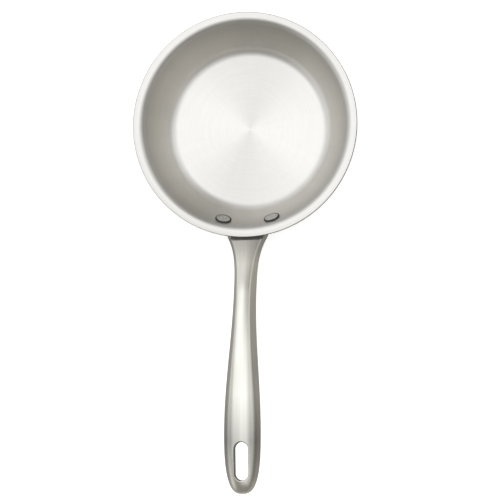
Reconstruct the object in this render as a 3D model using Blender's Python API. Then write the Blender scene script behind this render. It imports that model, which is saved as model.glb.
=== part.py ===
"""Frying pan: a pressed three-ply body, a cast handle that is hollow underneath, and two rivets.

Metres, +Z up. The pan's axis is the Z axis, its base stands on Z = 0 and the handle runs along -Y.
"""

import math

import bmesh
import bpy
from mathutils import Matrix, Vector

# Cooking surface of the body
FLOOR_RADIUS = 0.066  # flat floor, and the flat of the base under it
WALL_FLARE = 0.0355  # how far the rim stands outside the floor
COOKING_DEPTH = 0.037  # floor to the top of the rim
CORNER_RADIUS = 0.011  # floor to wall
LIP_RADIUS = 0.006  # wall to the pouring lip
LIP_LAND = 0.0045  # level edge of the lip

# Sheets of the three-ply body, from the cooking side out
INNER_PLY = 0.0005
CORE_PLY = 0.0016
OUTER_PLY = 0.0005
BOND_LINE = 0.00005  # between one sheet and the next

# Rivets
RIVET_SPACING = 0.044  # from one centre to the other, straight across
RIVET_DROP = 0.0115  # centres below the top of the rim
SHANK_RADIUS = 0.0031
HEAD_RADIUS = 0.0073  # head in the bowl
HEAD_HEIGHT = 0.0017
TAIL_RADIUS = 0.0056  # head formed outside, on the handle's pad
TAIL_HEIGHT = 0.0015

# Handle, measured outward from the rim's edge and up from the top of the rim
HANDLE_LENGTH = 0.2265  # rim's edge to the tip
ROOT_DROP = 0.010  # widest line of the root, below the rim
HANDLE_RISE = 0.0513  # widest line of the tip, above that of the root
ROOT_WIDTH = 0.0353
NECK_WIDTH = 0.0201
NECK_REACH = 0.0505
GRIP_WIDTH = 0.0322
GRIP_TO_TIP = 0.054
ROOT_CROWN = 0.0070  # top of the section above its widest line
NECK_CROWN = 0.0110
GRIP_CROWN = 0.0095
RIDGE_DROP = 0.0012  # fall from the soft ridge to the widest line, if there were no flanks
CROWN_BULGE = 0.0010  # extra fall by then, which rounds the top
RIDGE_ROUND = 0.22  # rounding of the ridge, as a share of the half width
SKIRT_DEPTH = 0.0025  # foot of the section below its widest line
SKIRT_DRAFT = 0.0005  # how far the foot is drawn in on each side
FOOT_ROUND = 0.0006  # rounding of the foot's outer edge
HANDLE_WALL = 0.0021
ROOT_SOLID = 0.022  # reach at which the hollow underneath begins
GUSSET_START = 0.028  # reach at which the skirt begins to deepen towards the pan
GUSSET_LENGTH = 0.0415
GUSSET_DEPTH = 0.0015  # extra skirt at the end of that length
GUSSET_DRAFT = 0.0035  # how far its foot is drawn in on each side there

# Hanging slot near the tip
SLOT_WIDTH = 0.0122
SLOT_LENGTH = 0.0332
SLOT_TO_TIP = 0.0116  # metal between the slot and the tip
SLOT_RIM_WALL = 0.0018  # wall round the slot in the hollow
SLOT_CHAMFER = 0.0007

# Pad of the handle on the pan's wall
PAD_THICKNESS = 0.0032
EAR_RADIUS = 0.0090  # round each rivet
BAR_TO_EAR = 0.85  # height of the pad between the ears, as a share of theirs

# Clearances
FIT_GAP = 0.0003  # between pieces that touch
LIP_CLEARANCE = 0.0025  # between the lip and the root of the handle under it
TOOL_CLEARANCE = 0.0006  # between a rivet's outer head and the handle beside it
OVERLAP = 0.001  # how far shapes that are joined, or cutters, run into each other

# Shapes of the handle's outlines
FLARE_POWER = 3.5
TUCK = 30.0  # how fast the root narrows again under the lip
TUCK_END = 0.4  # and how much of its widening is left
TIP_POWER = 2.8
ROOT_SHOULDER = 0.83  # where the top turns down into its flanks, as a share of the half width
NECK_SHOULDER = 0.66
GRIP_SHOULDER = 0.78
ROOT_SOFTNESS = 0.02  # rounding of that turn, as a share of the half width
NECK_SOFTNESS = 0.035
GRIP_SOFTNESS = 0.13
FLANK_POWER = 0.7  # below one, the flanks round out into the sides
NOSE_POWER = 4.0  # how late the crown comes down to the tip

# Facets
PAN_SEGMENTS = 64
CORNER_STEPS = 5
LIP_STEPS = 4
RIVET_SEGMENTS = 24
SMOOTH_ANGLE = math.radians(35)

# What the sizes above give
BODY_THICKNESS = INNER_PLY + BOND_LINE + CORE_PLY + BOND_LINE + OUTER_PLY
FLOOR_HEIGHT = BODY_THICKNESS
RIM_HEIGHT = FLOOR_HEIGHT + COOKING_DEPTH
RIM_RADIUS = FLOOR_RADIUS + WALL_FLARE
TIP_REACH = RIM_RADIUS + HANDLE_LENGTH
NECK_AT = RIM_RADIUS + NECK_REACH
GRIP_AT = TIP_REACH - GRIP_TO_TIP
PAD_DEPTH = BODY_THICKNESS + FIT_GAP + PAD_THICKNESS  # outer face of the pad, under the cooking surface


def clear_scene():
    for obj in list(bpy.data.objects):
        bpy.data.objects.remove(obj, do_unlink=True)


def metal(name, colour, roughness):
    material = bpy.data.materials.new(name)
    material.use_nodes = True
    shader = material.node_tree.nodes["Principled BSDF"]
    shader.inputs["Base Color"].default_value = (*colour, 1.0)
    shader.inputs["Roughness"].default_value = roughness
    shader.inputs["Metallic"].default_value = 1.0
    return material


def add_object(name, bm, material=None):
    """An object of the bmesh, with its faces pointing out. One without a material is a cutter or other helper."""
    bmesh.ops.recalc_face_normals(bm, faces=bm.faces)
    mesh = bpy.data.meshes.new(name)
    bm.to_mesh(mesh)
    bm.free()
    mesh.shade_smooth()
    mesh.set_sharp_from_angle(angle=SMOOTH_ANGLE)
    obj = bpy.data.objects.new(name, mesh)
    bpy.context.scene.collection.objects.link(obj)
    if material:
        mesh.materials.append(material)
    else:
        obj.hide_render = True
        obj.display_type = "WIRE"
    return obj


def boolean(obj, operation, other):
    modifier = obj.modifiers.new(f"{operation.lower()}_{other.name}", "BOOLEAN")
    modifier.operation = operation
    modifier.object = other
    modifier.solver = "EXACT"


def turned(bm, profile, segments):
    """Adds the solid that a closed profile of (radius, height) points sweeps about the Z axis."""
    verts = [bm.verts.new((radius, 0.0, height)) for radius, height in profile]
    edges = [bm.edges.new(pair) for pair in zip(verts, verts[1:])]
    if profile[0][0] > 0.0:
        edges.append(bm.edges.new((verts[-1], verts[0])))
    bmesh.ops.spin(
        bm, geom=verts + edges, cent=(0, 0, 0), axis=(0, 0, 1), angle=math.tau, steps=segments, use_merge=True
    )
    bmesh.ops.remove_doubles(bm, verts=bm.verts, dist=1e-7)


def arc(centre, radius, start, end, steps):
    """Points of an arc, with its angles in radians from the direction of the radius axis."""
    for step in range(steps + 1):
        angle = start + (end - start) * step / steps
        yield (centre[0] + radius * math.cos(angle), centre[1] + radius * math.sin(angle))


def wall_slope():
    """Slope of the straight wall, which is the common tangent of the corner arc and the lip arc."""
    across = WALL_FLARE - LIP_LAND
    up = COOKING_DEPTH - LIP_RADIUS - CORNER_RADIUS
    return math.atan2(up, across) + math.asin((CORNER_RADIUS + LIP_RADIUS) / math.hypot(across, up))


SLOPE = wall_slope()
CORNER_CENTRE = (FLOOR_RADIUS, FLOOR_HEIGHT + CORNER_RADIUS)
LIP_CENTRE = (RIM_RADIUS - LIP_LAND, RIM_HEIGHT - LIP_RADIUS)


def wall_point(depth, height):
    """(radius, height) where the straight wall, this deep under the cooking surface, passes that height."""
    foot_radius = CORNER_CENTRE[0] + (CORNER_RADIUS + depth) * math.sin(SLOPE)
    foot_height = CORNER_CENTRE[1] - (CORNER_RADIUS + depth) * math.cos(SLOPE)
    return (foot_radius + (height - foot_height) / math.tan(SLOPE), height)


def surface(depth, lip_depth=None):
    """(radius, height) points from the axis to the rim, this deep under the cooking surface.

    The lip can lie at another depth than the floor and the wall.
    """
    lip_depth = depth if lip_depth is None else lip_depth
    down = -math.pi / 2
    yield (0.0, FLOOR_HEIGHT - depth)
    yield from arc(CORNER_CENTRE, CORNER_RADIUS + depth, down, down + SLOPE, CORNER_STEPS)
    yield from arc(LIP_CENTRE, LIP_RADIUS - lip_depth, math.pi / 2 + SLOPE, math.pi / 2, LIP_STEPS)


def sheet_profile(near, far):
    """Closed profile of a sheet of the body between two depths under the cooking surface."""
    upper = [*surface(near), (RIM_RADIUS, RIM_HEIGHT - near)]
    lower = [*surface(far), (RIM_RADIUS, RIM_HEIGHT - far)]
    return upper + lower[::-1]


def add_sheet(name, near, far, material, holes):
    bm = bmesh.new()
    turned(bm, sheet_profile(near, far), PAN_SEGMENTS)
    sheet = add_object(name, bm, material)
    for hole in holes:
        boolean(sheet, "DIFFERENCE", hole)
    return sheet


def wall_band(bm, near, far, low, high):
    """Adds a ring along the straight wall, between two depths and two heights."""
    turned(
        bm,
        [wall_point(near, low), wall_point(far, low), wall_point(far, high), wall_point(near, high)],
        PAN_SEGMENTS,
    )


def rivet_frame(side):
    """Matrix of a rivet: its origin on the cooking surface and its Z axis out of the wall, into the bowl."""
    radius, height = wall_point(0.0, RIM_HEIGHT - RIVET_DROP)
    azimuth = side * math.asin(RIVET_SPACING / 2 / radius)
    outward = Vector((math.sin(azimuth), -math.cos(azimuth), 0.0))
    normal = -math.sin(SLOPE) * outward + math.cos(SLOPE) * Vector((0.0, 0.0, 1.0))
    tangent = Vector((-outward.y, outward.x, 0.0))
    axes = Matrix((tangent, normal.cross(tangent), normal)).transposed()
    return Matrix.Translation(outward * radius + Vector((0.0, 0.0, height))) @ axes.to_4x4()


def cylinder(name, radius, low, high, frame, segments=RIVET_SEGMENTS):
    """A helper cylinder about the Z axis of a frame, between two heights on it."""
    bm = bmesh.new()
    turned(bm, [(0.0, low), (radius, low), (radius, high), (0.0, high)], segments)
    helper = add_object(name, bm)
    helper.matrix_world = frame
    return helper


def button(bm, radius, foot, top, crown):
    """Adds a round head from foot to top, whose crown is the height of its rounded edge."""
    edge = top - crown if top > foot else top + crown
    turned(
        bm,
        [
            (0.0, foot),
            (radius, foot),
            (radius, edge),
            (radius * 0.93, edge + (top - edge) * 0.52),
            (radius * 0.74, edge + (top - edge) * 0.86),
            (radius * 0.40, top),
            (0.0, top),
        ],
        RIVET_SEGMENTS,
    )


def add_rivet(name, frame, grip, material):
    """A rivet: two heads cut to the wall and the pad that they grip, joined by the shank."""
    outer_foot = -(PAD_DEPTH + FIT_GAP)
    bm = bmesh.new()
    button(bm, HEAD_RADIUS, -OVERLAP, FIT_GAP + HEAD_HEIGHT, HEAD_HEIGHT * 0.6)
    button(bm, TAIL_RADIUS, outer_foot + OVERLAP, outer_foot - TAIL_HEIGHT, TAIL_HEIGHT * 0.6)
    rivet = add_object(name, bm, material)
    rivet.matrix_world = frame
    shank = cylinder(
        f"{name}_shank",
        SHANK_RADIUS,
        outer_foot - TAIL_HEIGHT / 2,
        FIT_GAP + HEAD_HEIGHT / 2,
        frame,
    )
    boolean(rivet, "DIFFERENCE", grip)
    boolean(rivet, "UNION", shank)
    return rivet


def ease(value):
    """0 to 1 with level ends."""
    value = min(max(value, 0.0), 1.0)
    return value * value * (3.0 - 2.0 * value)


def along_grip(reach):
    """0 at the neck and 1 where the grip is widest."""
    return ease((reach - NECK_AT) / (GRIP_AT - NECK_AT))


def along_neck(reach):
    """0 at the root and 1 at the neck."""
    return ease((reach - RIM_RADIUS) / NECK_REACH)


def along_handle(reach, root, neck, grip):
    """A value that runs from root to neck and from there to the grip."""
    return root + (neck - root) * along_neck(reach) + (grip - neck) * along_grip(reach)


def past_grip(reach, inset=0.0):
    """0 where the grip is widest and 1 at the tip, which an inset moves in."""
    return min(max((reach - GRIP_AT) / (GRIP_TO_TIP - inset), 0.0), 1.0)


def widening(flare):
    """The root widens out to the rim, then narrows again under the lip, to pass between the rivets."""
    if flare < 1.0:
        return flare**FLARE_POWER
    past = flare - 1.0
    return max(1.0 + FLARE_POWER * past - TUCK * past * past, TUCK_END)


def half_width(reach, inset=0.0):
    neck = NECK_WIDTH / 2 - inset
    grip = GRIP_WIDTH / 2 - inset
    if reach < NECK_AT:
        return neck + (ROOT_WIDTH - NECK_WIDTH) / 2 * widening((NECK_AT - reach) / NECK_REACH)
    if reach < GRIP_AT:
        return neck + (grip - neck) * along_grip(reach)
    return grip * (1.0 - past_grip(reach, inset) ** TIP_POWER) ** (1.0 / TIP_POWER)


def spine_height(reach):
    """Height of the widest line: a parabola that is level at the tip."""
    left = (TIP_REACH - reach) / HANDLE_LENGTH
    return RIM_HEIGHT - ROOT_DROP + HANDLE_RISE * (1.0 - left * left)


def crown_height(reach, inset=0.0):
    crown = along_handle(reach, ROOT_CROWN, NECK_CROWN, GRIP_CROWN) - inset
    return crown * math.sqrt(1.0 - past_grip(reach, inset) ** NOSE_POWER)


def gusset(reach):
    """0 where the gusset has run out into the skirt, rising towards the pan to 1 after its length."""
    left = max(RIM_RADIUS + GUSSET_START - reach, 0.0) / GUSSET_LENGTH
    return left * left


def skirt_depth(reach):
    return SKIRT_DEPTH * math.sqrt(1.0 - past_grip(reach) ** (2 * NOSE_POWER)) + GUSSET_DEPTH * gusset(reach)


def crown_spots(reach):
    """Places across the crown, from its widest line to near its middle, as shares of the half width."""
    shoulder = along_handle(reach, ROOT_SHOULDER, NECK_SHOULDER, GRIP_SHOULDER)
    softness = along_handle(reach, ROOT_SOFTNESS, NECK_SOFTNESS, GRIP_SOFTNESS)
    outer = min(shoulder + 1.8 * softness, 0.93)
    inner = shoulder - 2.0 * softness
    return (
        1.0,
        0.98,
        (0.98 + outer) / 2,
        outer,
        shoulder + 0.6 * softness,
        shoulder - 0.6 * softness,
        inner,
        inner / 2,
    )


def top_height(spot, reach, crown):
    """Height of the section's top above its widest line, at a share of the half width.

    It falls gently from a soft ridge to the shoulder, then down a steep flank.
    """
    weight = min(crown / ROOT_CROWN, 1.0)
    shoulder = along_handle(reach, ROOT_SHOULDER, NECK_SHOULDER, GRIP_SHOULDER)
    softness = along_handle(reach, ROOT_SOFTNESS, NECK_SOFTNESS, GRIP_SOFTNESS)
    fall = math.log1p(math.exp((spot - shoulder) / softness))
    whole = math.log1p(math.exp((1.0 - shoulder) / softness))
    gable = RIDGE_DROP * (math.hypot(spot, RIDGE_ROUND) - RIDGE_ROUND) + CROWN_BULGE * spot * spot
    return (crown - weight * gable) * max(1.0 - fall / whole, 0.0) ** FLANK_POWER


def handle_top(across, reach):
    spot = min(abs(across) / half_width(reach), 1.0)
    return spine_height(reach) + top_height(spot, reach, crown_height(reach))


def section(reach, inset=0.0, foot=None):
    """Closed ring of (across, up) points of the handle's section, up from the widest line.

    The foot lies at skirt depth with its sides drawn in, or at the depth given.
    """
    half = half_width(reach, inset)
    crown = crown_height(reach, inset)
    flank = [(half * spot, top_height(spot, reach, crown)) for spot in crown_spots(reach)]
    ring = [*flank, (0.0, crown), *((-across, up) for across, up in flank[::-1])]
    if foot is not None:
        return [*ring, (-half, -foot), (half, -foot)]
    depth = skirt_depth(reach)
    swell = min(gusset(reach), 1.0)
    draft = min(SKIRT_DRAFT + GUSSET_DRAFT * gusset(reach), half / 2)
    side = [
        (half, -depth * (0.45 - 0.25 * swell)),
        (half - draft * (0.35 + 0.3 * swell), -depth * (0.75 - 0.25 * swell)),
        (half - draft, -depth + min(FOOT_ROUND, depth / 5)),
        (half - draft - min(FOOT_ROUND, half / 5), -depth),
    ]
    return ring + [(-across, up) for across, up in side] + side[::-1]


def lofted(bm, rings):
    """Adds the solid that joins rings of the same number of points, with a flat cap at each end."""
    loops = [[bm.verts.new(point) for point in ring] for ring in rings]
    for near, far in zip(loops, loops[1:]):
        for a, b, c, d in zip(near, near[1:] + near[:1], far[1:] + far[:1], far):
            bm.faces.new((a, b, c, d))
    bm.faces.new(loops[0][::-1])
    bm.faces.new(loops[-1])


def spread(start, end, count):
    return [start + (end - start) * step / count for step in range(count)]


def nose_stations(inset, count):
    """Stations from the widest place to just short of the tip, closer together towards the tip."""
    last = math.asin(0.9994)
    return [GRIP_AT + (GRIP_TO_TIP - inset) * math.sin(last * step / count) for step in range(count + 1)]


def handle_ring(reach, outline):
    return [(across, -reach, spine_height(reach) + up) for across, up in outline]


def add_handle_blank(name, material):
    """The handle as a solid bar, from inside the pan's wall to the tip."""
    inside = RIM_RADIUS - 0.5 * WALL_FLARE
    stations = spread(inside, RIM_RADIUS + GUSSET_START, 12)
    stations += spread(RIM_RADIUS + GUSSET_START, GRIP_AT, 14)
    stations += nose_stations(0.0, 11)
    bm = bmesh.new()
    lofted(bm, [handle_ring(reach, section(reach)) for reach in stations])
    return add_object(name, bm, material)


def add_hollow():
    """The space under the handle, as a cutter: open below, and round at its end near the pan."""
    start = RIM_RADIUS + ROOT_SOLID
    radius = half_width(start + NECK_WIDTH / 2, HANDLE_WALL)
    rings = []
    for step in range(1, 8):
        angle = math.pi / 2 * step / 7
        reach = start + radius * (1.0 - math.cos(angle))
        outline = section(reach, HANDLE_WALL, SKIRT_DEPTH + GUSSET_DEPTH + OVERLAP)
        narrow = math.sin(angle) * radius / half_width(reach, HANDLE_WALL)
        rings.append(handle_ring(reach, [(across * min(narrow, 1.0), up) for across, up in outline]))
    stations = spread(start + radius, GRIP_AT, 12)[1:] + nose_stations(HANDLE_WALL, 7)
    foot = SKIRT_DEPTH + GUSSET_DEPTH + OVERLAP
    rings += [handle_ring(reach, section(reach, HANDLE_WALL, foot)) for reach in stations]
    bm = bmesh.new()
    lofted(bm, rings)
    return add_object("handle_hollow", bm)


def slot_outline(grow):
    """Stadium outline of the hanging slot, wider all round by grow, as (across, reach) points."""
    radius = SLOT_WIDTH / 2 + grow
    far = TIP_REACH - SLOT_TO_TIP - SLOT_WIDTH / 2
    near = far - (SLOT_LENGTH - SLOT_WIDTH)
    ends = (((0.0, far), 0.0), ((0.0, near), math.pi))
    return [point for centre, start in ends for point in arc(centre, radius, start, start + math.pi, 10)]


def add_slot_block(name, low, layers):
    """A stadium block from a level foot up through (height above the handle's top, grow) layers, as a helper."""
    rings = [[(x, -reach, low) for x, reach in slot_outline(layers[0][1])]]
    for up, grow in layers:
        rings.append([(x, -reach, handle_top(x, reach) + up) for x, reach in slot_outline(grow)])
    bm = bmesh.new()
    lofted(bm, rings)
    return add_object(name, bm)


def add_slot_wall():
    """The wall round the slot inside the hollow, from the foot of the skirt into the crown."""
    low = spine_height(TIP_REACH) - SKIRT_DEPTH * 0.9
    return add_slot_block("slot_wall", low, [(-HANDLE_WALL * 0.7, SLOT_RIM_WALL)])


def add_slot_cutter():
    """The slot itself, chamfered where it comes through the crown."""
    low = spine_height(GRIP_AT) - GRIP_CROWN
    layers = [(-SLOT_CHAMFER * 2, 0.0), (0.0, SLOT_CHAMFER), (GRIP_CROWN / 2, SLOT_CHAMFER * 1.5)]
    return add_slot_block("slot_cutter", low, layers)


def add_pad(frames):
    """The handle's pad on the pan's wall: a band of the wall, trimmed to an ear round each rivet and a bar."""
    centre_height = frames[0].translation.z
    reach_along_wall = EAR_RADIUS + OVERLAP * 4
    low = centre_height - reach_along_wall
    high = centre_height + reach_along_wall
    bm = bmesh.new()
    wall_band(bm, BODY_THICKNESS + FIT_GAP, PAD_DEPTH, low, high)
    pad = add_object("pad", bm)
    ears = [
        cylinder(f"ear_{side}", EAR_RADIUS, -PAD_DEPTH * 3, PAD_DEPTH, frame, 36)
        for side, frame in zip(("left", "right"), frames)
    ]
    radius, height = wall_point(0.0, centre_height)
    bm = bmesh.new()
    bmesh.ops.create_cube(bm, size=1.0)
    bmesh.ops.scale(bm, vec=(RIVET_SPACING, EAR_RADIUS * 2 * BAR_TO_EAR, PAD_DEPTH * 6), verts=bm.verts)
    bar = add_object("pad_bar", bm)
    bar.matrix_world = Matrix.Translation((0.0, -radius, height)) @ Matrix.Rotation(math.pi - SLOPE, 4, "X")
    for ear in ears:
        boolean(bar, "UNION", ear)
    boolean(pad, "INTERSECT", bar)
    return pad


def add_pan_clearance():
    """The room that the root leaves the body, as a cutter: it ends inside the pad, and stays clear of the lip."""
    under_lip = BODY_THICKNESS + LIP_CLEARANCE
    profile = [
        *surface((BODY_THICKNESS + FIT_GAP + PAD_DEPTH) / 2, under_lip),
        (RIM_RADIUS + LIP_CLEARANCE, RIM_HEIGHT - under_lip),
        (RIM_RADIUS + LIP_CLEARANCE, RIM_HEIGHT + HANDLE_RISE),
        (0.0, RIM_HEIGHT + HANDLE_RISE),
    ]
    bm = bmesh.new()
    turned(bm, profile, PAN_SEGMENTS)
    return add_object("pan_clearance", bm)


def add_handle(material, frames, holes):
    handle = add_handle_blank("handle", material)
    boolean(handle, "DIFFERENCE", add_pan_clearance())
    boolean(handle, "UNION", add_pad(frames))
    boolean(handle, "DIFFERENCE", add_hollow())
    boolean(handle, "UNION", add_slot_wall())
    boolean(handle, "DIFFERENCE", add_slot_cutter())
    for side, frame, hole in zip(("left", "right"), frames, holes):
        boolean(handle, "DIFFERENCE", hole)
        tool = cylinder(f"rivet_tool_{side}", TAIL_RADIUS + TOOL_CLEARANCE, -PAD_DEPTH * 6, -PAD_DEPTH, frame)
        boolean(handle, "DIFFERENCE", tool)
    return handle


def add_rivet_grip():
    """What a rivet's heads clamp, with the fit gap on both sides, as a cutter along the whole straight wall."""
    bm = bmesh.new()
    wall_band(bm, -FIT_GAP, PAD_DEPTH + FIT_GAP, FLOOR_HEIGHT - CORNER_RADIUS, RIM_HEIGHT + LIP_RADIUS)
    return add_object("rivet_grip", bm)


def build():
    clear_scene()
    satin = metal("satin_stainless", (0.62, 0.61, 0.59), 0.32)
    brushed = metal("brushed_stainless", (0.58, 0.57, 0.55), 0.35)
    aluminium = metal("aluminium", (0.80, 0.81, 0.82), 0.40)

    frames = [rivet_frame(-1), rivet_frame(1)]
    holes = [
        cylinder(f"rivet_hole_{side}", SHANK_RADIUS + FIT_GAP, -PAD_DEPTH * 2, PAD_DEPTH, frame)
        for side, frame in zip(("left", "right"), frames)
    ]

    core_top = INNER_PLY + BOND_LINE
    core_foot = core_top + CORE_PLY
    add_sheet("inner_ply", 0.0, INNER_PLY, satin, holes)
    add_sheet("core_ply", core_top, core_foot, aluminium, holes)
    add_sheet("outer_ply", core_foot + BOND_LINE, BODY_THICKNESS, brushed, holes)

    add_handle(brushed, frames, holes)
    grip = add_rivet_grip()
    for side, frame in zip(("left", "right"), frames):
        add_rivet(f"rivet_{side}", frame, grip, satin)


build()
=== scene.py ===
"""Frying pan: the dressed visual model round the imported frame.

Metres, +Z up. The pan's axis is the Z axis, its base stands on Z = 0 and the handle runs along -Y.
"""

import math

import bmesh
import bpy
from mathutils import Matrix, Vector


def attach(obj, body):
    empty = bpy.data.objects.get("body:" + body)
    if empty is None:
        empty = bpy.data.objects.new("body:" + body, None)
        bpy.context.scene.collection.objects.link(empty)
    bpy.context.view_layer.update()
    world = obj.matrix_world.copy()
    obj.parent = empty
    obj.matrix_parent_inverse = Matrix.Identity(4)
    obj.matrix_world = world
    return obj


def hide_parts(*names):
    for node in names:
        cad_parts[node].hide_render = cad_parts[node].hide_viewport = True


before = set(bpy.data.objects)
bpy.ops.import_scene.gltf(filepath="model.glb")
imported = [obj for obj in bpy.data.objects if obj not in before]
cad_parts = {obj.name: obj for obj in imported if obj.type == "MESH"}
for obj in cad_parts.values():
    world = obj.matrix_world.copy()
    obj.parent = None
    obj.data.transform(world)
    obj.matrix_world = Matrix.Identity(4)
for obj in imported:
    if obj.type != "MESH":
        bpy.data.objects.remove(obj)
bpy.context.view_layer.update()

# The body, as in the part's source, which says what each size is
FLOOR_RADIUS = 0.066
WALL_FLARE = 0.0355
COOKING_DEPTH = 0.037
CORNER_RADIUS = 0.011
LIP_RADIUS = 0.006
LIP_LAND = 0.0045
INNER_PLY = 0.0005
CORE_PLY = 0.0016
OUTER_PLY = 0.0005
BOND_LINE = 0.00005
BODY_THICKNESS = INNER_PLY + BOND_LINE + CORE_PLY + BOND_LINE + OUTER_PLY
FLOOR_HEIGHT = BODY_THICKNESS
RIM_HEIGHT = FLOOR_HEIGHT + COOKING_DEPTH
RIM_RADIUS = FLOOR_RADIUS + WALL_FLARE

# The rivets, as in the part's source
RIVET_SPACING = 0.044
RIVET_DROP = 0.0115
SHANK_RADIUS = 0.0031
HEAD_RADIUS = 0.0073
TAIL_RADIUS = 0.0056
TAIL_HEIGHT = 0.0015

# The handle, as in the part's source
HANDLE_LENGTH = 0.2265
ROOT_DROP = 0.010
HANDLE_RISE = 0.0513
ROOT_WIDTH = 0.0353
NECK_WIDTH = 0.0201
NECK_REACH = 0.0505
GRIP_WIDTH = 0.0322
GRIP_TO_TIP = 0.054
ROOT_CROWN = 0.0070
NECK_CROWN = 0.0110
GRIP_CROWN = 0.0095
RIDGE_DROP = 0.0012
CROWN_BULGE = 0.0010
RIDGE_ROUND = 0.22
SKIRT_DEPTH = 0.0025
SKIRT_DRAFT = 0.0005
FOOT_ROUND = 0.0006
HANDLE_WALL = 0.0021
ROOT_SOLID = 0.022
GUSSET_START = 0.028
GUSSET_LENGTH = 0.0415
GUSSET_DEPTH = 0.0015
GUSSET_DRAFT = 0.0035
SLOT_WIDTH = 0.0122
SLOT_LENGTH = 0.0332
SLOT_TO_TIP = 0.0116
SLOT_RIM_WALL = 0.0018
SLOT_CHAMFER = 0.0007
PAD_THICKNESS = 0.0032
EAR_RADIUS = 0.0090
BAR_TO_EAR = 0.85
FIT_GAP = 0.0003
LIP_CLEARANCE = 0.0025
TOOL_CLEARANCE = 0.0006
OVERLAP = 0.001
FLARE_POWER = 3.5
TUCK = 30.0
TUCK_END = 0.4
TIP_POWER = 2.8
ROOT_SHOULDER = 0.83
NECK_SHOULDER = 0.66
GRIP_SHOULDER = 0.78
GRIP_SOFTNESS = 0.13
FLANK_POWER = 0.7
NOSE_POWER = 4.0
TIP_REACH = RIM_RADIUS + HANDLE_LENGTH
NECK_AT = RIM_RADIUS + NECK_REACH
GRIP_AT = TIP_REACH - GRIP_TO_TIP
PAD_DEPTH = BODY_THICKNESS + FIT_GAP + PAD_THICKNESS
SLOT_FAR = TIP_REACH - SLOT_TO_TIP - SLOT_WIDTH / 2
SLOT_NEAR = SLOT_FAR - (SLOT_LENGTH - SLOT_WIDTH)

# What the dressed pieces have otherwise than the part: rounded edges, lower heads, softer shoulders and a
# lower crown, so that all of it stays inside the part's box
EDGE_ROUND = 0.0004  # rounding of the sheets' cut edge
HEAD_HEIGHT = 0.0014
HEAD_GAP = 0.35 * FIT_GAP  # under the heads of the rivets
SEAT_LINE = 0.0004  # height of the painted shade line at the foot of a rivet's head
SEAT_SHARE = 0.96  # radius of that line, as a share of the head's
FACE_SHARE = 0.83  # radius of the bright face of a head, as a share of the head's; the edge outside it is painted shade
FACE_SHIFT = 0.0007  # how far the bright face lies off the head's middle, towards the rim, so that the painted shade is wider on one side
SLOT_EDGE_DEPTH = SLOT_CHAMFER * 1.6  # rounded edge of the slot
SLOT_EDGE_SPREAD = SLOT_CHAMFER * 1.3
ROOT_SOFTNESS = 0.04
NECK_SOFTNESS = 0.045
POLISH = 0.00006  # taken off the crown

# Facets of the dressed pieces. The steps of the body's outline are those across the floor, round the corner,
# up the wall and over the lip
PAN_SEGMENTS = 192
FINE_STEPS = (8, 18, 10, 14)
COARSE_STEPS = (1, 5, 1, 4)
EDGE_STEPS = 4
RIVET_SEGMENTS = 64
HOLE_SEGMENTS = 48
EAR_SEGMENTS = 72
SLOT_STEPS = 20
SLOT_EDGE_STEPS = 5
CROWN_STEPS = 4
SMOOTH_ANGLE = math.radians(32)

# Sections of the handle: to where the gusset ends, from there to the grip, and round the nose. Those of the
# hollow: round its start, from there to the grip, and round the nose
HANDLE_SECTIONS = (36, 56, 34)
HOLLOW_SECTIONS = (14, 40, 20)
NOSE_END = 0.9994  # the last section of the nose, as a share of the way from the grip to the tip
HOLLOW_REACH = 0.010  # how far the hollow's cutter reaches past the deepest skirt

# The camera, in the pan's own plane at the rim
CAMERA_DISTANCE = 2.0
CAMERA_RIGHT = math.radians(8.7)
CAMERA_DOWN = math.radians(7.8)
CAMERA_TARGET = Vector((0.0053, -0.1132, 0.0))
PAN_TURN = math.radians(0.9)  # the pan's turn in the photograph's plane
FOCAL_PIXELS = 2232.0
FRAME_PIXELS = 500.0
SENSOR_WIDTH = 36.0  # millimetres

# Finishes. A steel's colour is that of its brightest part. The painted shade over it is (share of the way,
# tone) pairs: up the wall to the rim, or along the handle to its tip
BOWL_STEEL = (0.825, 0.818, 0.795)
# Painted shade up the bowl's wall, from the floor to the rim
WALL_PAINTED_SHADE = (
    (0.0, 0.745),
    (0.05, 0.92),
    (0.16, (1.0, 0.99, 0.97)),
    (0.55, (0.84, 0.83, 0.80)),
    (0.86, (0.69, 0.68, 0.66)),
    (0.94, 0.73),
    (1.0, 0.79),
)
HANDLE_STEEL = (0.89, 0.88, 0.825)
# Painted shade along the handle, from the root to the tip
HANDLE_PAINTED_SHADE = (
    (0.0, 0.58),
    (0.05, 0.75),
    (0.11, 1.0),
    (0.18, 0.94),
    (0.26, 0.82),
    (0.62, 0.73),
    (0.80, 0.45),
    (0.93, 0.66),
    (1.0, 1.0),
)
OUTSIDE_STEEL = (0.84, 0.83, 0.81)
GRAIN_CONTRAST = 0.06  # of the grain's colour
GRAIN_SPREAD = 0.07  # of its roughness
GRAIN_DEPTH = 0.00008  # of its relief
QUARTER_TURN = 0.25  # turns a gloss from along the tangent to across it
SPOKES = (9.0, 7.0, 7.0)  # cycles of the broad streaks in a turned surface
CLOUDS = (38.0, 38.0, 38.0)  # cycles per metre of the faint clouds in every steel
PAINTED_FLOOR_SHEEN = 0.11  # painted highlight: how much brighter the turned floor's bright wedges are

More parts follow.
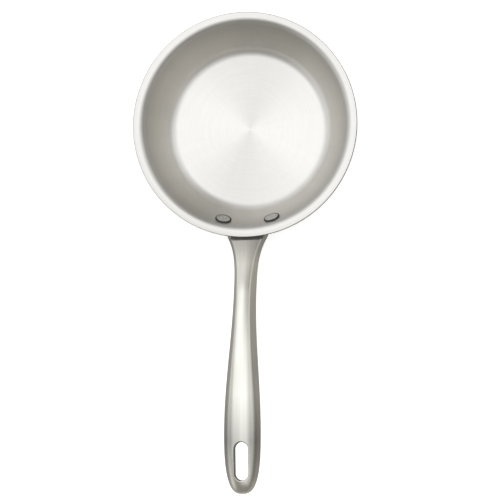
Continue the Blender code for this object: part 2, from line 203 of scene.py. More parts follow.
# Dull speckled steel, unbrushed at the sheets' cut edge and the slot's wall, and painted shade on the
# rivets' heads and the handle's root under the lip: how light it is, and the colours of its speckles at a
# lightness of one
EDGE_LIGHTNESS = 0.22  # cut edge of the sheets
RIVET_SHADE_LIGHTNESS = 0.08  # painted shade on the side, edge and seat of a rivet's head
UNDER_LIP_SHADE_LIGHTNESS = 0.17  # painted shade on the root of the handle where it faces the lip
SLOT_LIGHTNESS = 0.34  # wall of the slot
SLOT_DULL_EDGE = 0.8 * SLOT_CHAMFER  # how far that goes on into the slot's rounded edge
UNDER_LIP_MARGIN = 0.0001  # for telling which faces the cut under the lip has left
DULL_CYCLES = 900.0  # speckles per metre
DULL_DARK = (0.65, 0.63, 0.58)
DULL_LIGHT = (1.35, 1.30, 1.20)

# The studio's floor: white to the camera, and grey in the steel, as a table is beside a lit object
STUDIO_REACH = 4.0
STUDIO_WHITE = (0.90, 0.90, 0.90, 1.0)
STUDIO_GREY = (0.49, 0.478, 0.447, 1.0)
STUDIO_GLOW = 0.65  # what the floor gives off by itself, to the camera alone

# The studio: a plain room and soft lights in it, each as (degrees from straight up, degrees round from +X
# towards +Y, degrees from its middle to where it has faded out, level)
ROOM_LEVEL = 0.27
ROOM_LIGHTS = (
    (12, 270, 32, 0.38),
    (22, 130, 37, 1.24),
    (25, 0, 45, 0.57),
    (58, 38, 36, 0.42),
    (62, 112, 36, 0.50),
    (85, 180, 62, 0.64),
)
ROOM_TINT = ((0.25, (1.0, 0.955, 0.87)), (1.0, 1.0))  # colour of the room, by its level
WHITE = (1.0, 1.0, 1.0, 1.0)


def new_object(name, bm, material=None):
    """An object of the bmesh, with its faces pointing out."""
    bmesh.ops.recalc_face_normals(bm, faces=bm.faces)
    mesh = bpy.data.meshes.new(name)
    bm.to_mesh(mesh)
    bm.free()
    mesh.shade_smooth()
    mesh.set_sharp_from_angle(angle=SMOOTH_ANGLE)
    obj = bpy.data.objects.new(name, mesh)
    bpy.context.scene.collection.objects.link(obj)
    if material:
        mesh.materials.append(material)
    return obj


def boolean(obj, operation, other):
    """Applies a boolean to the mesh and removes the other object."""
    modifier = obj.modifiers.new("cut", "BOOLEAN")
    modifier.operation = operation
    modifier.object = other
    modifier.solver = "EXACT"
    bpy.context.view_layer.update()
    graph = bpy.context.evaluated_depsgraph_get()
    result = bpy.data.meshes.new_from_object(obj.evaluated_get(graph), depsgraph=graph)
    obj.modifiers.clear()
    obj.data = result
    bpy.data.objects.remove(other, do_unlink=True)


def turned(bm, profile, segments):
    """Adds the solid that a closed profile of (radius, height) points sweeps about the Z axis."""
    verts = [bm.verts.new((radius, 0.0, height)) for radius, height in profile]
    edges = [bm.edges.new(pair) for pair in zip(verts, verts[1:])]
    if profile[0][0] > 0.0:
        edges.append(bm.edges.new((verts[-1], verts[0])))
    geom = verts + edges
    bmesh.ops.spin(
        bm, geom=geom, cent=(0, 0, 0), axis=(0, 0, 1), angle=math.tau, steps=segments, use_merge=True
    )
    bmesh.ops.remove_doubles(bm, verts=bm.verts, dist=1e-7)


def arc(centre, radius, start, end, steps):
    """Points of an arc, with its angles in radians from the direction of the radius axis."""
    for step in range(steps + 1):
        angle = start + (end - start) * step / steps
        yield (centre[0] + radius * math.cos(angle), centre[1] + radius * math.sin(angle))


def wall_slope():
    """Slope of the straight wall, which is the common tangent of the corner arc and the lip arc."""
    across = WALL_FLARE - LIP_LAND
    up = COOKING_DEPTH - LIP_RADIUS - CORNER_RADIUS
    return math.atan2(up, across) + math.asin((CORNER_RADIUS + LIP_RADIUS) / math.hypot(across, up))


SLOPE = wall_slope()
CORNER_CENTRE = (FLOOR_RADIUS, FLOOR_HEIGHT + CORNER_RADIUS)
LIP_CENTRE = (RIM_RADIUS - LIP_LAND, RIM_HEIGHT - LIP_RADIUS)


def wall_point(depth, height):
    """(radius, height) where the straight wall, this deep under the cooking surface, passes that height."""
    foot_radius = CORNER_CENTRE[0] + (CORNER_RADIUS + depth) * math.sin(SLOPE)
    foot_height = CORNER_CENTRE[1] - (CORNER_RADIUS + depth) * math.cos(SLOPE)
    return (foot_radius + (height - foot_height) / math.tan(SLOPE), height)


def surface(depth, lip_depth=None, steps=FINE_STEPS):
    """(radius, height) points from the axis to the lip's level edge, this deep under the cooking surface.

    The lip can lie at another depth than the floor and the wall.
    """
    lip_depth = depth if lip_depth is None else lip_depth
    floor_steps, corner_steps, wall_steps, lip_steps = steps
    down = -math.pi / 2
    for step in range(floor_steps):
        yield (FLOOR_RADIUS * step / floor_steps, FLOOR_HEIGHT - depth)
    corner = list(arc(CORNER_CENTRE, CORNER_RADIUS + depth, down, down + SLOPE, corner_steps))
    lip = list(arc(LIP_CENTRE, LIP_RADIUS - lip_depth, math.pi / 2 + SLOPE, math.pi / 2, lip_steps))
    yield from corner
    for step in range(1, wall_steps):
        share = step / wall_steps
        yield tuple(a + (b - a) * share for a, b in zip(corner[-1], lip[0]))
    yield from lip


def sheet_profile(near, far, round_near, round_far):
    """Closed profile of a sheet of the body, with its cut edge rounded at the near and far side."""
    upper = list(surface(near))
    lower = list(surface(far))
    top, foot = RIM_HEIGHT - near, RIM_HEIGHT - far
    edge = []
    if round_near:
        edge += arc((RIM_RADIUS - round_near, top - round_near), round_near, math.pi / 2, 0.0, EDGE_STEPS)
    else:
        edge.append((RIM_RADIUS, top))
    if round_far:
        edge += arc((RIM_RADIUS - round_far, foot + round_far), round_far, 0.0, -math.pi / 2, EDGE_STEPS)
    else:
        edge.append((RIM_RADIUS, foot))
    return upper + edge + lower[::-1]


def rivet_frame(side):
    """Matrix of a rivet: its origin on the cooking surface and its Z axis out of the wall, into the bowl."""
    radius, height = wall_point(0.0, RIM_HEIGHT - RIVET_DROP)
    azimuth = side * math.asin(RIVET_SPACING / 2 / radius)
    outward = Vector((math.sin(azimuth), -math.cos(azimuth), 0.0))
    normal = -math.sin(SLOPE) * outward + math.cos(SLOPE) * Vector((0.0, 0.0, 1.0))
    tangent = Vector((-outward.y, outward.x, 0.0))
    axes = Matrix((tangent, normal.cross(tangent), normal)).transposed()
    return Matrix.Translation(outward * radius + Vector((0.0, 0.0, height))) @ axes.to_4x4()


def cylinder(name, radius, low, high, matrix, segments=HOLE_SEGMENTS):
    """A cylinder about the Z axis of a matrix, between two heights on it."""
    bm = bmesh.new()
    turned(bm, [(0.0, low), (radius, low), (radius, high), (0.0, high)], segments)
    bmesh.ops.transform(bm, matrix=matrix, verts=bm.verts)
    return new_object(name, bm)


def button_profile(radius, top, seat):
    """A flat-faced head, from its seat line up its side and over a soft edge to its middle."""
    side = top - seat
    edge = [
        (1.00, 0.00),
        (1.00, 0.30),
        (0.99, 0.48),
        (0.965, 0.64),
        (0.93, 0.76),
        (0.88, 0.85),
        (0.84, 0.89),
        (0.80, 0.915),
        (0.74, 0.935),
        (0.66, 0.955),
        (0.50, 0.975),
        (0.34, 0.99),
        (0.17, 0.998),
    ]
    head = [(radius * across, seat + side * up) for across, up in edge]
    return [(radius * SEAT_SHARE, HEAD_GAP), (radius * SEAT_SHARE, seat)] + head + [(0.0, top)]


def ease(value):
    """0 to 1 with level ends."""
    value = min(max(value, 0.0), 1.0)
    return value * value * (3.0 - 2.0 * value)


def along_grip(reach):
    """0 at the neck and 1 where the grip is widest."""
    return ease((reach - NECK_AT) / (GRIP_AT - NECK_AT))


def along_neck(reach):
    """0 at the root and 1 at the neck."""
    return ease((reach - RIM_RADIUS) / NECK_REACH)


def along_handle(reach, root, neck, grip):
    """A value that runs from root to neck and from there to the grip."""
    return root + (neck - root) * along_neck(reach) + (grip - neck) * along_grip(reach)


def past_grip(reach, inset=0.0):
    """0 where the grip is widest and 1 at the tip, which an inset moves in."""
    return min(max((reach - GRIP_AT) / (GRIP_TO_TIP - inset), 0.0), 1.0)


def widening(flare):
    """The root widens out to the rim, then narrows again under the lip, to pass between the rivets."""
    if flare < 1.0:
        return flare**FLARE_POWER
    past = flare - 1.0
    return max(1.0 + FLARE_POWER * past - TUCK * past * past, TUCK_END)


def half_width(reach, inset=0.0):
    neck = NECK_WIDTH / 2 - inset
    grip = GRIP_WIDTH / 2 - inset
    if reach < NECK_AT:
        return neck + (ROOT_WIDTH - NECK_WIDTH) / 2 * widening((NECK_AT - reach) / NECK_REACH)
    if reach < GRIP_AT:
        return neck + (grip - neck) * along_grip(reach)
    return grip * (1.0 - past_grip(reach, inset) ** TIP_POWER) ** (1.0 / TIP_POWER)


def spine_height(reach):
    """Height of the widest line: a parabola that is level at the tip."""
    left = (TIP_REACH - reach) / HANDLE_LENGTH
    return RIM_HEIGHT - ROOT_DROP + HANDLE_RISE * (1.0 - left * left)


def crown_height(reach, inset=0.0):
    crown = along_handle(reach, ROOT_CROWN, NECK_CROWN, GRIP_CROWN) - inset - POLISH
    return crown * math.sqrt(1.0 - past_grip(reach, inset) ** NOSE_POWER)


def gusset(reach):
    """0 where the gusset has run out into the skirt, rising towards the pan to 1 after its length."""
    left = max(RIM_RADIUS + GUSSET_START - reach, 0.0) / GUSSET_LENGTH
    return left * left


def skirt_depth(reach):
    return SKIRT_DEPTH * math.sqrt(1.0 - past_grip(reach) ** (2 * NOSE_POWER)) + GUSSET_DEPTH * gusset(reach)


def crown_spots(reach):
    """Places across the crown, from its widest line to near its middle, as shares of the half width."""
    shoulder = along_handle(reach, ROOT_SHOULDER, NECK_SHOULDER, GRIP_SHOULDER)
    softness = along_handle(reach, ROOT_SOFTNESS, NECK_SOFTNESS, GRIP_SOFTNESS)
    outer = min(shoulder + 1.8 * softness, 0.93)
    inner = shoulder - 2.0 * softness
    anchors = [
        1.0,
        0.99,
        0.97,
        (0.97 + outer) / 2,
        outer,
        shoulder + 0.6 * softness,
        shoulder - 0.6 * softness,
        inner,
        0.5 * inner,
        0.0,
    ]
    return [spot for near, far in zip(anchors, anchors[1:]) for spot in spread(near, far, CROWN_STEPS)]


def top_height(spot, reach, crown):
    """Height of the section's top above its widest line, at a share of the half width.

    It falls gently from a soft ridge to the shoulder, then down a steep flank.
    """
    weight = min(crown / ROOT_CROWN, 1.0)
    shoulder = along_handle(reach, ROOT_SHOULDER, NECK_SHOULDER, GRIP_SHOULDER)
    softness = along_handle(reach, ROOT_SOFTNESS, NECK_SOFTNESS, GRIP_SOFTNESS)
    fall = math.log1p(math.exp((spot - shoulder) / softness))
    whole = math.log1p(math.exp((1.0 - shoulder) / softness))
    gable = RIDGE_DROP * (math.hypot(spot, RIDGE_ROUND) - RIDGE_ROUND) + CROWN_BULGE * spot * spot
    return (crown - weight * gable) * max(1.0 - fall / whole, 0.0) ** FLANK_POWER


def handle_top(across, reach):
    spot = min(abs(across) / half_width(reach), 1.0)
    return spine_height(reach) + top_height(spot, reach, crown_height(reach))


def section(reach, inset=0.0, foot=None):
    """Closed ring of (across, up) points of the handle's section, up from the widest line.

    The foot lies at skirt depth with its sides drawn in, or at the depth given.
    """
    half = half_width(reach, inset)
    crown = crown_height(reach, inset)
    flank = [(half * spot, top_height(spot, reach, crown)) for spot in crown_spots(reach)]
    ring = [*flank, (0.0, crown), *((-across, up) for across, up in flank[::-1])]
    if foot is not None:
        return [*ring, (-half, -foot), (half, -foot)]
    depth = skirt_depth(reach)
    swell = min(gusset(reach), 1.0)
    draft = min(SKIRT_DRAFT + GUSSET_DRAFT * gusset(reach), half / 2)
    round_up = min(FOOT_ROUND, depth / 5)
    round_in = min(FOOT_ROUND, half / 5)
    side = [
        (half, -depth * (0.22 - 0.12 * swell)),
        (half, -depth * (0.45 - 0.25 * swell)),
        (half - draft * (0.35 + 0.3 * swell), -depth * (0.75 - 0.25 * swell)),
        (half - draft, -depth + round_up),
        (half - draft - round_in * 0.3, -depth + round_up * 0.3),
        (half - draft - round_in, -depth),
    ]
    return ring + [(-across, up) for across, up in side] + side[::-1]


def lofted(bm, rings):
    """Adds the solid that joins rings of the same number of points, with a flat cap at each end."""
    loops = [[bm.verts.new(point) for point in ring] for ring in rings]
    for near, far in zip(loops, loops[1:]):
        for a, b, c, d in zip(near, near[1:] + near[:1], far[1:] + far[:1], far):
            bm.faces.new((a, b, c, d))
    bm.faces.new(loops[0][::-1])
    bm.faces.new(loops[-1])


def spread(start, end, count):
    return [start + (end - start) * step / count for step in range(count)]


def nose_stations(inset, count):
    """Stations from the widest place to just short of the tip, closer together towards the tip."""
    last = math.asin(NOSE_END)
    return [GRIP_AT + (GRIP_TO_TIP - inset) * math.sin(last * step / count) for step in range(count + 1)]


def handle_ring(reach, outline):
    return [(across, -reach, spine_height(reach) + up) for across, up in outline]


def handle_blank():
    """The handle as a solid bar, from inside the pan's wall to the tip."""
    inside = RIM_RADIUS - 0.5 * WALL_FLARE
    root_count, grip_count, nose_count = HANDLE_SECTIONS
    stations = spread(inside, RIM_RADIUS + GUSSET_START, root_count)
    stations += spread(RIM_RADIUS + GUSSET_START, GRIP_AT, grip_count)
    stations += nose_stations(0.0, nose_count)
    bm = bmesh.new()
    lofted(bm, [handle_ring(reach, section(reach)) for reach in stations])
    return new_object("handle_cast", bm)


def handle_hollow():
    """The space under the handle, as a cutter: open below, and round at its end near the pan."""
    start = RIM_RADIUS + ROOT_SOLID
    radius = half_width(start + NECK_WIDTH / 2, HANDLE_WALL)
    foot = SKIRT_DEPTH + GUSSET_DEPTH + HOLLOW_REACH + OVERLAP
    start_count, grip_count, nose_count = HOLLOW_SECTIONS
    rings = []
    for step in range(1, start_count + 1):
        angle = math.pi / 2 * step / start_count
        reach = start + radius * (1.0 - math.cos(angle))
        outline = section(reach, HANDLE_WALL, foot)
        narrow = min(math.sin(angle) * radius / half_width(reach, HANDLE_WALL), 1.0)
        rings.append(handle_ring(reach, [(across * narrow, up) for across, up in outline]))
    stations = spread(start + radius, GRIP_AT, grip_count)[1:] + nose_stations(HANDLE_WALL, nose_count)
    rings += [handle_ring(reach, section(reach, HANDLE_WALL, foot)) for reach in stations]
    bm = bmesh.new()
    lofted(bm, rings)
    return new_object("handle_hollow", bm)


def slot_outline(grow):
    """Stadium outline of the hanging slot, wider all round by grow, as (across, reach) points."""
    radius = SLOT_WIDTH / 2 + grow
    far_end = arc((0.0, SLOT_FAR), radius, 0.0, math.pi, SLOT_STEPS)
    near_end = arc((0.0, SLOT_NEAR), radius, math.pi, math.tau, SLOT_STEPS)
    return [*far_end, *near_end]


def slot_block(name, low, layers):
    """A stadium block from a level foot up through (height above the handle's top, grow) layers."""
    rings = [[(x, -reach, low) for x, reach in slot_outline(layers[0][1])]]
    for up, grow in layers:
        rings.append([(x, -reach, handle_top(x, reach) + up) for x, reach in slot_outline(grow)])
    bm = bmesh.new()
    lofted(bm, rings)
    return new_object(name, bm)


def slot_wall():
    """The wall round the slot inside the hollow, from the foot of the skirt into the crown."""
    low = spine_height(TIP_REACH) - SKIRT_DEPTH * 0.9
    return slot_block("slot_wall", low, [(-HANDLE_WALL * 0.7, SLOT_RIM_WALL)])


def slot_cutter():
    """The slot, with a rounded edge where it comes through the crown."""
    layers = []
    for step in range(SLOT_EDGE_STEPS + 1):
        angle = math.pi / 2 * step / SLOT_EDGE_STEPS
        drop = SLOT_EDGE_DEPTH * (1.0 - math.sin(angle))
        layers.append((-drop, SLOT_EDGE_SPREAD * (1.0 - math.cos(angle))))
    layers.append((GRIP_CROWN / 2, SLOT_EDGE_SPREAD + SLOT_CHAMFER / 2))
    return slot_block("slot_cutter", spine_height(GRIP_AT) - GRIP_CROWN, layers)


def wall_band(bm, near, far, low, high):
    """Adds a ring along the straight wall, between two depths and two heights."""
    profile = [wall_point(near, low), wall_point(far, low), wall_point(far, high), wall_point(near, high)]
    turned(bm, profile, PAN_SEGMENTS)


def pad_plate(frames):
    """The handle's pad on the wall: a band of the wall, trimmed to an ear round each rivet and a bar."""
    centre_height = frames[0].translation.z
    reach_along_wall = EAR_RADIUS + OVERLAP * 4
    low = centre_height - reach_along_wall
    high = centre_height + reach_along_wall
    bm = bmesh.new()
    wall_band(bm, BODY_THICKNESS + FIT_GAP, PAD_DEPTH, low, high)
    pad = new_object("pad", bm)
    radius, height = wall_point(0.0, centre_height)
    bm = bmesh.new()
    bmesh.ops.create_cube(bm, size=1.0)
    bmesh.ops.scale(bm, vec=(RIVET_SPACING, EAR_RADIUS * 2 * BAR_TO_EAR, PAD_DEPTH * 6), verts=bm.verts)
    place = Matrix.Translation((0.0, -radius, height)) @ Matrix.Rotation(math.pi - SLOPE, 4, "X")
    bmesh.ops.transform(bm, matrix=place, verts=bm.verts)
    bar = new_object("pad_bar", bm)
    for matrix in frames:
        boolean(bar, "UNION", cylinder("ear", EAR_RADIUS, -PAD_DEPTH * 3, PAD_DEPTH, matrix, EAR_SEGMENTS))
    boolean(pad, "INTERSECT", bar)
    return pad


def pan_clearance():
    """The room that the root leaves the body, as a cutter: it ends in the pad and stays clear of the lip."""
    under_lip = BODY_THICKNESS + LIP_CLEARANCE
    profile = [
        *surface((BODY_THICKNESS + FIT_GAP + PAD_DEPTH) / 2, under_lip, COARSE_STEPS),
        (RIM_RADIUS + LIP_CLEARANCE, RIM_HEIGHT - under_lip),
        (RIM_RADIUS + LIP_CLEARANCE, RIM_HEIGHT + HANDLE_RISE),
        (0.0, RIM_HEIGHT + HANDLE_RISE),
    ]
    bm = bmesh.new()
    turned(bm, profile, PAN_SEGMENTS)
    return new_object("pan_clearance", bm)


class Nodes:
    """A small helper that adds and links the shader nodes of a material or of the world."""

    def __init__(self, owner):
        owner.use_nodes = True
        self.tree = owner.node_tree
        self.made = self.tree.nodes

    def feed(self, node, values):
        """Sets a node's inputs, or links them where the value is another node's output."""
        for key, value in values.items():
            if isinstance(value, bpy.types.NodeSocket):
                self.tree.links.new(value, node.inputs[key])
            else:
                node.inputs[key].default_value = value

    def add(self, kind, values=None, **settings):
        node = self.made.new(kind)
        for name, value in settings.items():
            setattr(node, name, value)
        self.feed(node, values or {})
        return node

    def maths(self, operation, *values):
        return self.add("ShaderNodeMath", dict(enumerate(values)), operation=operation).outputs[0]

    def mix(self, share, first, second, blend_type="MIX"):
        """A blend of two colours."""
        values = {"Factor": share, 6: first, 7: second}
        return self.add("ShaderNodeMix", values, data_type="RGBA", blend_type=blend_type).outputs[2]

    def ramp(self, value, stops):
        """A colour, or a grey where it is one number, for each (value, colour) pair and all between them."""
        node = self.add("ShaderNodeValToRGB", {"Fac": value})
        elements = node.color_ramp.elements
        while len(elements) < len(stops):
            elements.new(0.5)
        for element, (position, colour) in zip(elements, stops):
            element.position = position
            element.color = (*colour, 1.0) if isinstance(colour, tuple) else (colour, colour, colour, 1.0)
        return node.outputs["Color"]


def new_metal(name, metallic=1.0):
    """A new material with a helper for its nodes, its shader and each point's place on the object."""
    material = bpy.data.materials.new(name)
    nodes = Nodes(material)
    shader = nodes.made["Principled BSDF"]
    shader.inputs["Metallic"].default_value = metallic
    place = nodes.add("ShaderNodeTexCoord").outputs["Object"]
    return material, nodes, shader, place


def round_the_axis(nodes, place):
    """The radius and height of each point, and the cosine and sine of its angle about the Z axis."""
    split = nodes.add("ShaderNodeSeparateXYZ", {"Vector": place})
    x, y, height = (split.outputs[name] for name in "XYZ")
    level = nodes.add("ShaderNodeCombineXYZ", {"X": x, "Y": y}).outputs[0]
    radius = nodes.add("ShaderNodeVectorMath", {0: level}, operation="LENGTH").outputs["Value"]
    angle = nodes.maths("ARCTAN2", y, x)
    return radius, height, nodes.maths("COSINE", angle), nodes.maths("SINE", angle)


def along_the_spine(nodes, place):
    """Each point's place across, along and up from the handle's bent spine, and its share of the way."""
    split = nodes.add("ShaderNodeSeparateXYZ", {"Vector": place})
    left = nodes.maths("DIVIDE", nodes.maths("ADD", split.outputs["Y"], TIP_REACH), HANDLE_LENGTH)
    up = nodes.maths("MULTIPLY_ADD", nodes.maths("MULTIPLY", left, left), HANDLE_RISE, split.outputs["Z"])
    straight = nodes.add("ShaderNodeCombineXYZ", {"X": split.outputs["X"], "Y": split.outputs["Y"], "Z": up})
    return straight.outputs[0], nodes.maths("SUBTRACT", 1.0, left)


def noise(nodes, place, cycles, detail, roughness=0.6):
    """Noise with this many cycles per metre along each axis."""
    scaled = nodes.add("ShaderNodeVectorMath", {0: place, 1: cycles}, operation="MULTIPLY").outputs[0]
    values = {"Vector": scaled, "Scale": 1.0, "Detail": detail, "Roughness": roughness}
    return nodes.add("ShaderNodeTexNoise", values).outputs["Fac"]


def blend(nodes, *parts):
    """The sum of (value, share) pairs."""
    total = 0.0
    for value, share in parts:
        total = nodes.maths("MULTIPLY_ADD", value, share, total)
    return total


def painted_sheen(nodes, base, share, cosine):
    """Painted highlight: the two brighter and two darker wedges that a turned floor's gloss shows, painted
    into its colour and faded out up the wall.
    """
    squared = nodes.maths("MULTIPLY", cosine, cosine)
    wedges = nodes.ramp(squared, [(0.0, 0.0), (0.12, 0.12), (0.7, 0.9), (1.0, 1.0)])
    on_floor = nodes.maths("MULTIPLY", wedges, nodes.ramp(share, [(0.0, 1.0), (0.12, 0.0)]))
    lighter = nodes.maths("MULTIPLY_ADD", on_floor, PAINTED_FLOOR_SHEEN, 1.0)
    return nodes.add("ShaderNodeVectorMath", {0: base, "Scale": lighter}, operation="SCALE").outputs[0]


def steel(name, colour, painted_shade=(), *, is_turned, grain, roughness, anisotropic, bump):
    """Brushed stainless steel, with painted shade up the wall or along the handle and, when turned, the
    floor's painted highlight. Its grain, in cycles per metre, runs round the Z axis or along the handle.
    """
    material, nodes, shader, place = new_metal(name)
    cloud = noise(nodes, place, CLOUDS, 2.0, 0.5)
    if is_turned:
        radius, height, cosine, sine = round_the_axis(nodes, place)
        across = nodes.maths("ADD", radius, height)
        ring = nodes.add("ShaderNodeCombineXYZ", {"X": across, "Y": cosine, "Z": sine}).outputs[0]
        fine = noise(nodes, ring, (grain, 1.6, 1.6), 3.0)
        spokes = noise(nodes, ring, SPOKES, 4.0, 0.7)
        texture = blend(nodes, (fine, 0.55), (spokes, 0.30), (cloud, 0.15))
        wall = {"Value": height, "From Min": FLOOR_HEIGHT, "From Max": RIM_HEIGHT}
        share = nodes.add("ShaderNodeMapRange", wall).outputs["Result"]
    else:
        straight, share = along_the_spine(nodes, place)
        fine = noise(nodes, straight, (grain, 5.0, grain), 3.0)
        texture = blend(nodes, (fine, 0.6), (cloud, 0.4))
    dark = tuple(channel * (1.0 - GRAIN_CONTRAST) for channel in colour)
    light = tuple(min(channel * (1.0 + GRAIN_CONTRAST), 1.0) for channel in colour)
    base = nodes.ramp(texture, [(0.3, dark), (0.7, light)])
    # Painted shade up the wall or along the handle, multiplied into the colour
    if painted_shade:
        base = nodes.mix(1.0, base, nodes.ramp(share, painted_shade), "MULTIPLY")
    # A turned floor also gets a painted highlight in wedges
    if painted_shade and is_turned:
        base = painted_sheen(nodes, base, share, cosine)
    smooth, rough = roughness * (1.0 - GRAIN_SPREAD), roughness * (1.0 + GRAIN_SPREAD)
    relief = nodes.add("ShaderNodeBump", {"Height": fine, "Strength": bump, "Distance": GRAIN_DEPTH})
    tangent = nodes.add("ShaderNodeTangent", direction_type="RADIAL", axis="Z" if is_turned else "Y")
    looks = {
        "Base Color": base,
        "Roughness": nodes.ramp(texture, [(0.2, smooth), (0.8, rough)]),
        "Normal": relief.outputs["Normal"],
        "Tangent": tangent.outputs["Tangent"],
        "Anisotropic": anisotropic,
        "Anisotropic Rotation": QUARTER_TURN if is_turned else 0.0,
    }
    nodes.feed(shader, looks)
    return material


def aluminium():
    material, nodes, shader, place = new_metal("core_aluminium")
    values = {"Vector": place, "Scale": 900.0, "Detail": 2.0}
    speckle = nodes.add("ShaderNodeTexNoise", values).outputs["Fac"]
    colour = nodes.ramp(speckle, [(0.3, (0.70, 0.71, 0.72)), (0.7, (0.80, 0.81, 0.82))])
    roughness = nodes.ramp(speckle, [(0.3, 0.36), (0.7, 0.46)])
    nodes.feed(shader, {"Base Color": colour, "Roughness": roughness})
    return material


def rivet_steel():
    """Upset rivet steel with a mottled face."""
    material, nodes, shader, place = new_metal("rivet_stainless")
    values = {"Vector": place, "Scale": 700.0, "Detail": 4.0, "Roughness": 0.65}
    mottle = nodes.add("ShaderNodeTexNoise", values).outputs["Fac"]
    colour = nodes.ramp(mottle, [(0.35, (0.36, 0.355, 0.34)), (0.65, (0.86, 0.855, 0.84))])
    roughness = nodes.ramp(mottle, [(0.3, 0.30), (0.7, 0.46)])
    relief = nodes.add("ShaderNodeBump", {"Height": mottle, "Strength": 0.8, "Distance": 0.0004})
    nodes.feed(shader, {"Base Color": colour, "Roughness": roughness, "Normal": relief.outputs["Normal"]})
    return material


def dull_steel_and_painted_shade(name, lightness):
    """Dull speckled steel: unbrushed at the cut edge and the slot wall, and painted shade on the rivets'
    heads and on the handle's root under the lip.
    """
    material, nodes, shader, place = new_metal(name, 0.6)
    speckle = noise(nodes, place, (DULL_CYCLES,) * 3, 2.0)
    dark = tuple(lightness * channel for channel in DULL_DARK)
    light = tuple(lightness * channel for channel in DULL_LIGHT)
    nodes.feed(shader, {"Base Color": nodes.ramp(speckle, [(0.3, dark), (0.7, light)]), "Roughness": 0.7})
    return material


def dress(piece, node):
    """The piece stands for a node of the frame, on the one rigid body."""
    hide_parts(node)
    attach(piece, "root")


def make_sheet(name, node, depths, rounds, material, edge_material):
    """A sheet of the body between two depths under the cooking surface, with a dull cut edge at the rim."""
    bm = bmesh.new()
    turned(bm, sheet_profile(*depths, *rounds), PAN_SEGMENTS)
    for face in bm.faces:
        if face.calc_center_median().xy.length > RIM_RADIUS - EDGE_ROUND:
            face.material_index = 1
    sheet = new_object(name, bm, material)
    sheet.data.materials.append(edge_material)
    dress(sheet, node)


def make_body():
    inside = steel(
        "bowl_steel",
        BOWL_STEEL,
        WALL_PAINTED_SHADE,
        is_turned=True,
        grain=1000.0,
        roughness=0.38,
        anisotropic=0.6,
        bump=0.15,
    )
    outside = steel(
        "outside_steel",
        OUTSIDE_STEEL,
        is_turned=True,
        grain=2600.0,
        roughness=0.38,
        anisotropic=0.5,
        bump=0.2,
    )
    edge = dull_steel_and_painted_shade("cut_edge", EDGE_LIGHTNESS)
    inner = (0.0, INNER_PLY)
    core = (INNER_PLY + BOND_LINE, INNER_PLY + BOND_LINE + CORE_PLY)
    outer = (core[1] + BOND_LINE, BODY_THICKNESS)
    make_sheet("bowl_inside", "inner_ply", inner, (EDGE_ROUND, 0.0), inside, edge)
    make_sheet("bowl_core", "core_ply", core, (0.0, 0.0), aluminium(), edge)
    make_sheet("bowl_outside", "outer_ply", outer, (0.0, EDGE_ROUND), outside, edge)


def make_rivets(frames):
    """Each head has a bright face, and painted shade round its edge, down its side and along its seat line.
    """
    bright = rivet_steel()
    dull = dull_steel_and_painted_shade("rivet_painted_shade", RIVET_SHADE_LIGHTNESS)
    seat = FIT_GAP + SEAT_LINE
    head = button_profile(HEAD_RADIUS, FIT_GAP + HEAD_HEIGHT, seat)
    tail = button_profile(TAIL_RADIUS, FIT_GAP + TAIL_HEIGHT, seat)
    shank = [(SHANK_RADIUS, HEAD_GAP), (SHANK_RADIUS, -PAD_DEPTH - HEAD_GAP)]
    profile = head[::-1] + shank + [(across, -PAD_DEPTH - up) for across, up in tail]
    for name, matrix in zip(("rivet_left", "rivet_right"), frames):
        bm = bmesh.new()
        turned(bm, profile, RIVET_SEGMENTS)
        for face in bm.faces:
            centre = face.calc_center_median()
            from_middle = math.hypot(centre.x, centre.y + FACE_SHIFT)
            # Painted shade on the seat, the shank and the head's edge outside the bright face
            if -PAD_DEPTH - seat < centre.z < seat or from_middle > HEAD_RADIUS * FACE_SHARE:
                face.material_index = 1
        bmesh.ops.transform(bm, matrix=matrix, verts=bm.verts)
        rivet = new_object(f"{name}_dressed", bm, bright)
        rivet.data.materials.append(dull)
        dress(rivet, name)


def faces_lip(point):
    under_lip = RIM_HEIGHT - BODY_THICKNESS - LIP_CLEARANCE
    past_lip = RIM_RADIUS + LIP_CLEARANCE
    return point.z > under_lip - UNDER_LIP_MARGIN and point.xy.length < past_lip + UNDER_LIP_MARGIN / 2


def in_slot(point):
    nearest = min(max(-point.y, SLOT_NEAR), SLOT_FAR)
    return math.hypot(point.x, -point.y - nearest) < SLOT_WIDTH / 2 + SLOT_DULL_EDGE


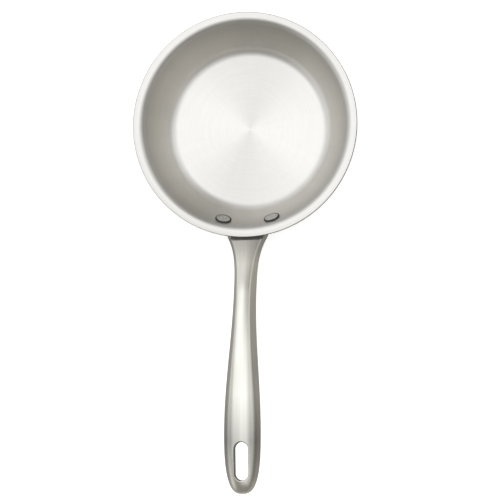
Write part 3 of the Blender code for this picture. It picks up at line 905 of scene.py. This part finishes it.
def make_handle(frames):
    """One casting, brushed but for the wall of its slot, with painted shade on its root where it faces the
    lip.
    """
    handle = handle_blank()
    boolean(handle, "DIFFERENCE", pan_clearance())
    boolean(handle, "UNION", pad_plate(frames))
    boolean(handle, "DIFFERENCE", handle_hollow())
    boolean(handle, "UNION", slot_wall())
    boolean(handle, "DIFFERENCE", slot_cutter())
    for matrix in frames:
        hole = cylinder("hole", SHANK_RADIUS + FIT_GAP, -PAD_DEPTH * 2, PAD_DEPTH, matrix)
        boolean(handle, "DIFFERENCE", hole)
        tool = cylinder("tool", TAIL_RADIUS + TOOL_CLEARANCE, -PAD_DEPTH * 6, -PAD_DEPTH, matrix)
        boolean(handle, "DIFFERENCE", tool)
    handle.data.shade_smooth()
    handle.data.set_sharp_from_angle(angle=SMOOTH_ANGLE)
    handle.data.materials.clear()
    brushed = steel(
        "handle_steel",
        HANDLE_STEEL,
        HANDLE_PAINTED_SHADE,
        is_turned=False,
        grain=650.0,
        roughness=0.24,
        anisotropic=0.3,
        bump=0.03,
    )
    # Painted shade on the root where it faces the lip, and the unbrushed wall of the slot
    under_lip_shade = dull_steel_and_painted_shade("under_lip_painted_shade", UNDER_LIP_SHADE_LIGHTNESS)
    slot = dull_steel_and_painted_shade("slot_wall", SLOT_LIGHTNESS)
    for material in (brushed, under_lip_shade, slot):
        handle.data.materials.append(material)
    for face in handle.data.polygons:
        if faces_lip(face.center):
            face.material_index = 1
        elif in_slot(face.center):
            face.material_index = 2
    dress(handle, "handle")


def make_floor():
    bm = bmesh.new()
    bmesh.ops.create_grid(bm, x_segments=1, y_segments=1, size=STUDIO_REACH)
    material = bpy.data.materials.new("floor_white")
    nodes = Nodes(material)
    shader = nodes.made["Principled BSDF"]
    path = nodes.add("ShaderNodeLightPath")
    colour = nodes.mix(path.outputs["Is Glossy Ray"], STUDIO_WHITE, STUDIO_GREY)
    nodes.feed(shader, {"Base Color": colour, "Roughness": 0.9, "Specular IOR Level": 0.0})
    strength = nodes.maths("MULTIPLY", path.outputs["Is Camera Ray"], STUDIO_GLOW)
    glow = nodes.add("ShaderNodeEmission", {"Color": WHITE, "Strength": strength})
    both = nodes.add("ShaderNodeAddShader", {0: shader.outputs[0], 1: glow.outputs[0]})
    nodes.feed(nodes.made["Material Output"], {"Surface": both.outputs[0]})
    new_object("floor", bm, material)


def direction(from_zenith, azimuth):
    across = math.sin(from_zenith)
    return Vector((across * math.cos(azimuth), across * math.sin(azimuth), math.cos(from_zenith)))


def make_world():
    """The studio for the object, and plain white for the camera."""
    world = bpy.data.worlds.new("studio")
    bpy.context.scene.world = world
    nodes = Nodes(world)
    way = nodes.add("ShaderNodeTexCoord").outputs["Generated"]
    level = ROOM_LEVEL
    for from_zenith, azimuth, reach, light_level in ROOM_LIGHTS:
        towards = direction(math.radians(from_zenith), math.radians(azimuth))
        facing = nodes.add("ShaderNodeVectorMath", {0: way, 1: towards}, operation="DOT_PRODUCT")
        faded = math.cos(math.radians(reach))
        fade = {"Value": facing.outputs["Value"], "From Min": faded, "To Max": light_level}
        light = nodes.add("ShaderNodeMapRange", fade, interpolation_type="SMOOTHSTEP").outputs["Result"]
        level = nodes.maths("ADD", light, level)
    camera = nodes.add("ShaderNodeLightPath").outputs["Is Camera Ray"]
    colour = nodes.mix(camera, nodes.ramp(level, ROOM_TINT), WHITE)
    strength = nodes.add("ShaderNodeMix", {"Factor": camera, "A": level, "B": 1.0}).outputs["Result"]
    nodes.feed(nodes.made["Background"], {"Color": colour, "Strength": strength})


def make_camera():
    data = bpy.data.cameras.new("camera")
    data.sensor_width = SENSOR_WIDTH
    data.lens = FOCAL_PIXELS / FRAME_PIXELS * SENSOR_WIDTH
    data.clip_start = 0.05
    data.clip_end = 20.0
    camera = bpy.data.objects.new("camera", data)
    bpy.context.scene.collection.objects.link(camera)
    rim = Matrix.Translation((0.0, 0.0, RIM_HEIGHT)) @ Matrix.Rotation(-PAN_TURN, 4, "Z")
    eye = Vector((math.tan(CAMERA_RIGHT), -math.tan(CAMERA_DOWN), 1.0)).normalized() * CAMERA_DISTANCE
    back = (eye - CAMERA_TARGET).normalized()
    right = Vector((0.0, 1.0, 0.0)).cross(back).normalized()
    axes = Matrix((right, back.cross(right), back)).transposed().to_4x4()
    camera.matrix_world = rim @ Matrix.Translation(eye) @ axes
    bpy.context.scene.camera = camera


rivet_frames = [rivet_frame(-1), rivet_frame(1)]
make_camera()
make_world()
make_floor()
make_body()
make_rivets(rivet_frames)
make_handle(rivet_frames)
bpy.context.scene.view_settings.view_transform = "Standard"
